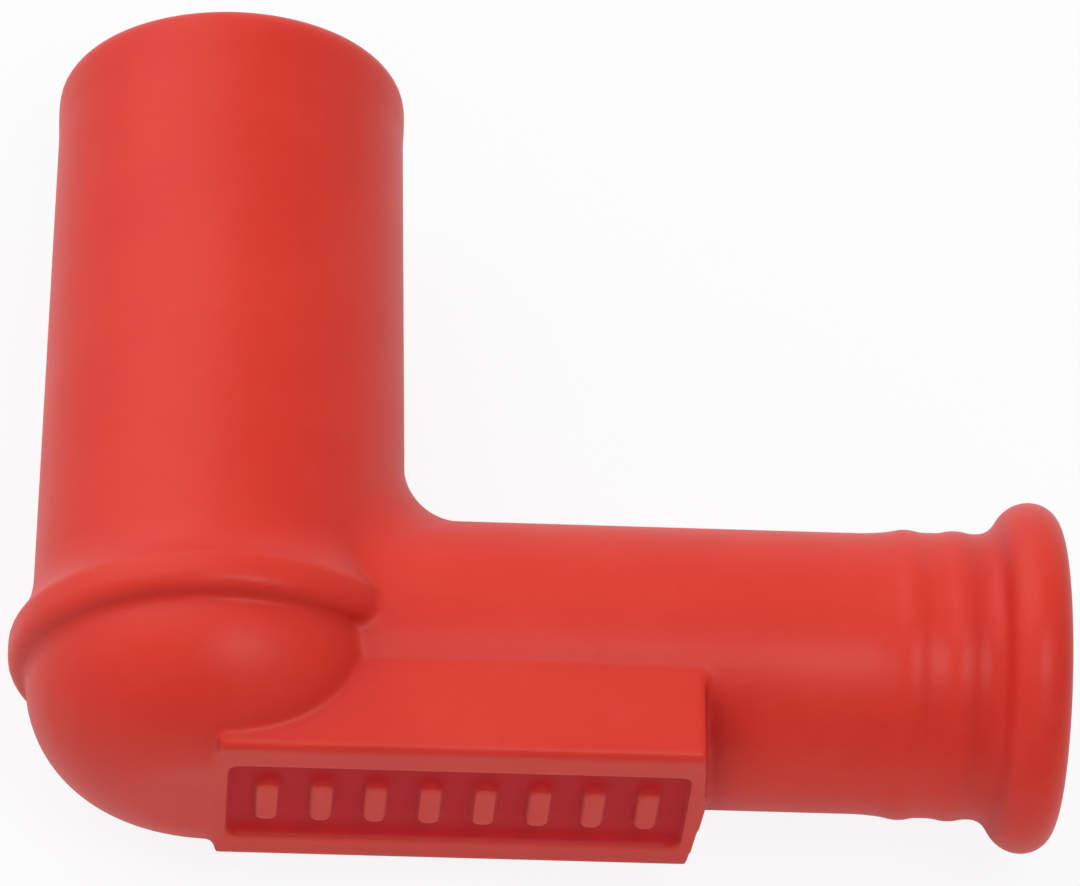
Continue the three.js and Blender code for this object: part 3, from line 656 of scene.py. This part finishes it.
def moulded_silicone():
    """Peroxide-cured silicone rubber, pressed in a spark-eroded mould. It gives a satin skin with a fine even
    grain, soft wide highlights, and a faint pale bloom that gathers in patches."""
    material, tree, mm = start_material("moulded_silicone_rubber")
    # Pigment streaks of about 9 mm, and bloom in patches of about 3 mm
    streaks = add(tree, "ShaderNodeTexNoise", Vector=mm, Scale=0.11, Detail=3.0,
                  Roughness=0.55).outputs["Fac"]
    bloom = add(tree, "ShaderNodeTexNoise", Vector=mm, Scale=0.33, Detail=4.0, Roughness=0.6).outputs["Fac"]
    streak_share = add(tree, "ShaderNodeMapRange", Value=streaks, From_Min=0.35,
                       From_Max=0.65).outputs["Result"]
    bloom_share = add(tree, "ShaderNodeMapRange", Value=bloom, From_Min=0.52, From_Max=0.78,
                      To_Max=0.1).outputs["Result"]
    pigment = add(tree, "ShaderNodeMix", {"data_type": "RGBA"}, Factor=streak_share,
                  A=colour("dc3626"), B=colour("d83122")).outputs[2]
    bloomed = add(tree, "ShaderNodeMix", {"data_type": "RGBA"}, Factor=bloom_share,
                  A=pigment, B=colour("de5a4d")).outputs[2]
    # Painted shade: ambient occlusion mixes a deeper red into creases and hollows, where shade falls
    open_sky = add(tree, "ShaderNodeAmbientOcclusion", {"samples": 8}, Distance=0.004).outputs["AO"]
    crease_shade = add(tree, "ShaderNodeMapRange", Value=open_sky, From_Min=0.55, From_Max=0.98, To_Min=1.0,
                 To_Max=0.0).outputs["Result"]
    crease_shaded = add(tree, "ShaderNodeMix", {"data_type": "RGBA"}, Factor=crease_shade,
                  A=bloomed, B=colour("ae1012")).outputs[2]
    # Painted shade: the panel's floor, down in its recess, is painted a deeper red, and is also made matt
    panel_floor = panel_floor_mask(tree, mm)
    skin = add(tree, "ShaderNodeMix", {"data_type": "RGBA"}, Factor=panel_floor,
               A=crease_shaded, B=colour("c5191f")).outputs[2]
    # Mould grain: 0.22 mm, drawn coarser than the real 0.05 mm so that it shows
    grain = add(tree, "ShaderNodeTexNoise", Vector=mm, Scale=4.5, Detail=2.0, Roughness=0.5).outputs["Fac"]
    satin = add(tree, "ShaderNodeMapRange", Value=bloom, To_Min=0.37, To_Max=0.48).outputs["Result"]
    rough = add(tree, "ShaderNodeMix", Factor=panel_floor, A=satin, B=0.7).outputs[0]
    bump = add(tree, "ShaderNodeBump", Strength=0.12, Distance=0.00006, Height=grain).outputs["Normal"]
    wave = add(tree, "ShaderNodeBump", Strength=0.1, Distance=0.0004, Height=bloom,
               Normal=bump).outputs["Normal"]
    close_material(tree, Base_Color=skin, Roughness=rough, IOR=1.41, Specular_IOR_Level=0.35,
                   Sheen_Weight=0.06, Sheen_Roughness=0.35, Sheen_Tint=colour("e8d4ff"), Normal=wave)
    return material


def metal(name, dark, light, roughness, scale, grain):
    """A metal with lathe or drawing marks: noise that is stretched by the three scales given."""
    material, tree, mm = start_material(name)
    stretched = add(tree, "ShaderNodeMapping", Vector=mm, Scale=scale).outputs["Vector"]
    marks = add(tree, "ShaderNodeTexNoise", Vector=stretched, Scale=1.0, Detail=3.0).outputs["Fac"]
    tarnish = add(tree, "ShaderNodeTexNoise", Vector=mm, Scale=0.5, Detail=4.0).outputs["Fac"]
    tint = add(tree, "ShaderNodeMix", {"data_type": "RGBA"}, Factor=tarnish, A=colour(dark),
               B=colour(light)).outputs[2]
    rough = add(tree, "ShaderNodeMapRange", Value=tarnish, To_Min=roughness - 0.08,
                To_Max=roughness + 0.1).outputs["Result"]
    bump = add(tree, "ShaderNodeBump", Strength=grain, Distance=0.00002, Height=marks).outputs["Normal"]
    close_material(tree, Base_Color=tint, Metallic=1.0, Roughness=rough, Normal=bump)
    return material


def turned_brass(name, scale):
    """Free-cutting brass off the lathe. It gives fine rings round the axis and a dull gold tarnish."""
    return metal(name, "9c7430", "cfa653", 0.32, scale, 0.25)


def drawn_spring_steel():
    """Hard-drawn steel wire. It gives a bright grey with fine lines."""
    return metal("drawn_spring_steel", "8f9296", "c3c6c9", 0.28, (6, 6, 6), 0.12)


def pressed_tinned_steel():
    """Pressed and tinned steel cups. They give a soft grey-white with slight mottling."""
    return metal("pressed_tinned_steel", "b4b5b0", "d6d7d2", 0.4, (3, 3, 3), 0.1)


def fired_ceramic():
    """Unglazed fired ceramic rod. It gives a matte cream with dark grit."""
    material, tree, mm = start_material("fired_ceramic")
    grit = add(tree, "ShaderNodeTexNoise", Vector=mm, Scale=3.0, Detail=3.0).outputs["Fac"]
    grit_share = add(tree, "ShaderNodeMapRange", Value=grit, From_Min=0.62, From_Max=0.7).outputs["Result"]
    tint = add(tree, "ShaderNodeMix", {"data_type": "RGBA"}, Factor=grit_share,
               A=colour("e6dfcf"), B=colour("9d9484")).outputs[2]
    bump = add(tree, "ShaderNodeBump", Strength=0.2, Distance=0.00003, Height=grit).outputs["Normal"]
    close_material(tree, Base_Color=tint, Roughness=0.65, IOR=1.6, Normal=bump)
    return material


def moulded_phenolic():
    """Moulded phenolic with wood flour in it. It gives a dark brown with short paler flecks."""
    material, tree, mm = start_material("moulded_phenolic")
    stretched = add(tree, "ShaderNodeMapping", Vector=mm, Scale=(0.8, 3, 3)).outputs["Vector"]
    flecks = add(tree, "ShaderNodeTexNoise", Vector=stretched, Scale=1.0, Detail=3.0).outputs["Fac"]
    share = add(tree, "ShaderNodeMapRange", Value=flecks, From_Min=0.45, From_Max=0.7).outputs["Result"]
    tint = add(tree, "ShaderNodeMix", {"data_type": "RGBA"}, Factor=share,
               A=colour("241a16"), B=colour("3a2b23")).outputs[2]
    bump = add(tree, "ShaderNodeBump", Strength=0.1, Distance=0.00003, Height=flecks).outputs["Normal"]
    close_material(tree, Base_Color=tint, Roughness=0.42, IOR=1.6, Normal=bump)
    return material


# Studio
def pale_floor():
    """Matte white board. It shows plain white to the camera and in reflections, and keeps a light shadow."""
    bm = bmesh.new()
    bmesh.ops.create_grid(bm, x_segments=1, y_segments=1, size=3.0)
    floor = new_object("pale_floor", bm)
    material, tree, _ = start_material("matte_white_board")
    board = add(tree, "ShaderNodeBsdfDiffuse", Color=colour("f4f4f4"))
    glow = add(tree, "ShaderNodeEmission", Color=(1, 1, 1, 1), Strength=1.0)
    rays = add(tree, "ShaderNodeLightPath")
    share = add(tree, "ShaderNodeMix", Factor=rays.outputs["Is Glossy Ray"], A=0.0, B=0.1).outputs[0]
    share = add(tree, "ShaderNodeMix", Factor=rays.outputs["Is Camera Ray"], A=share, B=0.88).outputs[0]
    mix = add(tree, "ShaderNodeMixShader", Fac=share)
    for socket, source in zip(mix.inputs[1:], (board, glow)):
        tree.links.new(source.outputs[0], socket)
    add(tree, "ShaderNodeOutputMaterial", Surface=mix.outputs[0])
    floor.data.materials.append(material)


def studio_world():
    """White surroundings to the eye and in reflections, and a lower even light on the object."""
    world = bpy.data.worlds.new("white_studio")
    bpy.context.scene.world = world
    world.use_nodes = True
    tree = world.node_tree
    tree.nodes.clear()
    rays = add(tree, "ShaderNodeLightPath")
    # The room behind the plug arm is brighter than the side that the photographer stands on
    toward = add(tree, "ShaderNodeTexCoord").outputs["Generated"]
    slope = add(tree, "ShaderNodeVectorMath", {"operation": "DOT_PRODUCT"},
                Vector=[toward, Vector((-0.45, 0.6, 0))]).outputs["Value"]
    room = add(tree, "ShaderNodeMath", {"operation": "ADD"}, Value=[slope, 0.75]).outputs[0]
    fill = add(tree, "ShaderNodeMath", {"operation": "MULTIPLY_ADD"}, Value=[slope, 0.12, 0.49]).outputs[0]
    level = add(tree, "ShaderNodeMix", Factor=rays.outputs["Is Glossy Ray"], A=fill, B=room).outputs[0]
    level = add(tree, "ShaderNodeMix", Factor=rays.outputs["Is Camera Ray"], A=level, B=1.0).outputs[0]
    back = add(tree, "ShaderNodeBackground", Color=(1, 1, 1, 1), Strength=level)
    add(tree, "ShaderNodeOutputWorld", Surface=back.outputs[0])


def soft_box(name, direction, power, size):
    """A square soft box that faces the cap from a direction."""
    data = bpy.data.lights.new(name, "AREA")
    data.shape = "SQUARE"
    data.size = size
    data.energy = power
    lamp = bpy.data.objects.new(name, data)
    bpy.context.scene.collection.objects.link(lamp)
    direction = Vector(direction).normalized()
    lamp.location = TO_FRAME @ AIM_POINT + direction * LAMP_DISTANCE
    lamp.rotation_euler = direction.to_track_quat("Z", "Y").to_euler()


place_camera()
pale_floor()
studio_world()
soft_box("overhead_box", (-0.5, 0.5, 0.7), 1.5, 0.6)
soft_box("front_box", (0.2, -0.28, 0.94), 1.0, 0.2)

brass_across = turned_brass("turned_brass_socket", (0.3, 12, 0.3))
brass_along = turned_brass("turned_brass_contact", (12, 0.3, 0.3))
spring_steel = drawn_spring_steel()
tinned_steel = pressed_tinned_steel()

make_boot(moulded_silicone())
make_socket(brass_across)
make_clip(spring_steel)
make_screw(brass_along)

carried_over = {
    "elbow_contact": brass_along,
    "contact_spring": spring_steel,
    "resistor_core": fired_ceramic(),
    "resistor_cap_spring_side": tinned_steel,
    "resistor_cap_lead_side": tinned_steel,
    "insulating_tube": moulded_phenolic(),
}
for name, material in carried_over.items():
    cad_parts[name].data.materials.clear()
    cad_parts[name].data.materials.append(material)

bpy.context.scene.view_settings.view_transform = "Standard"
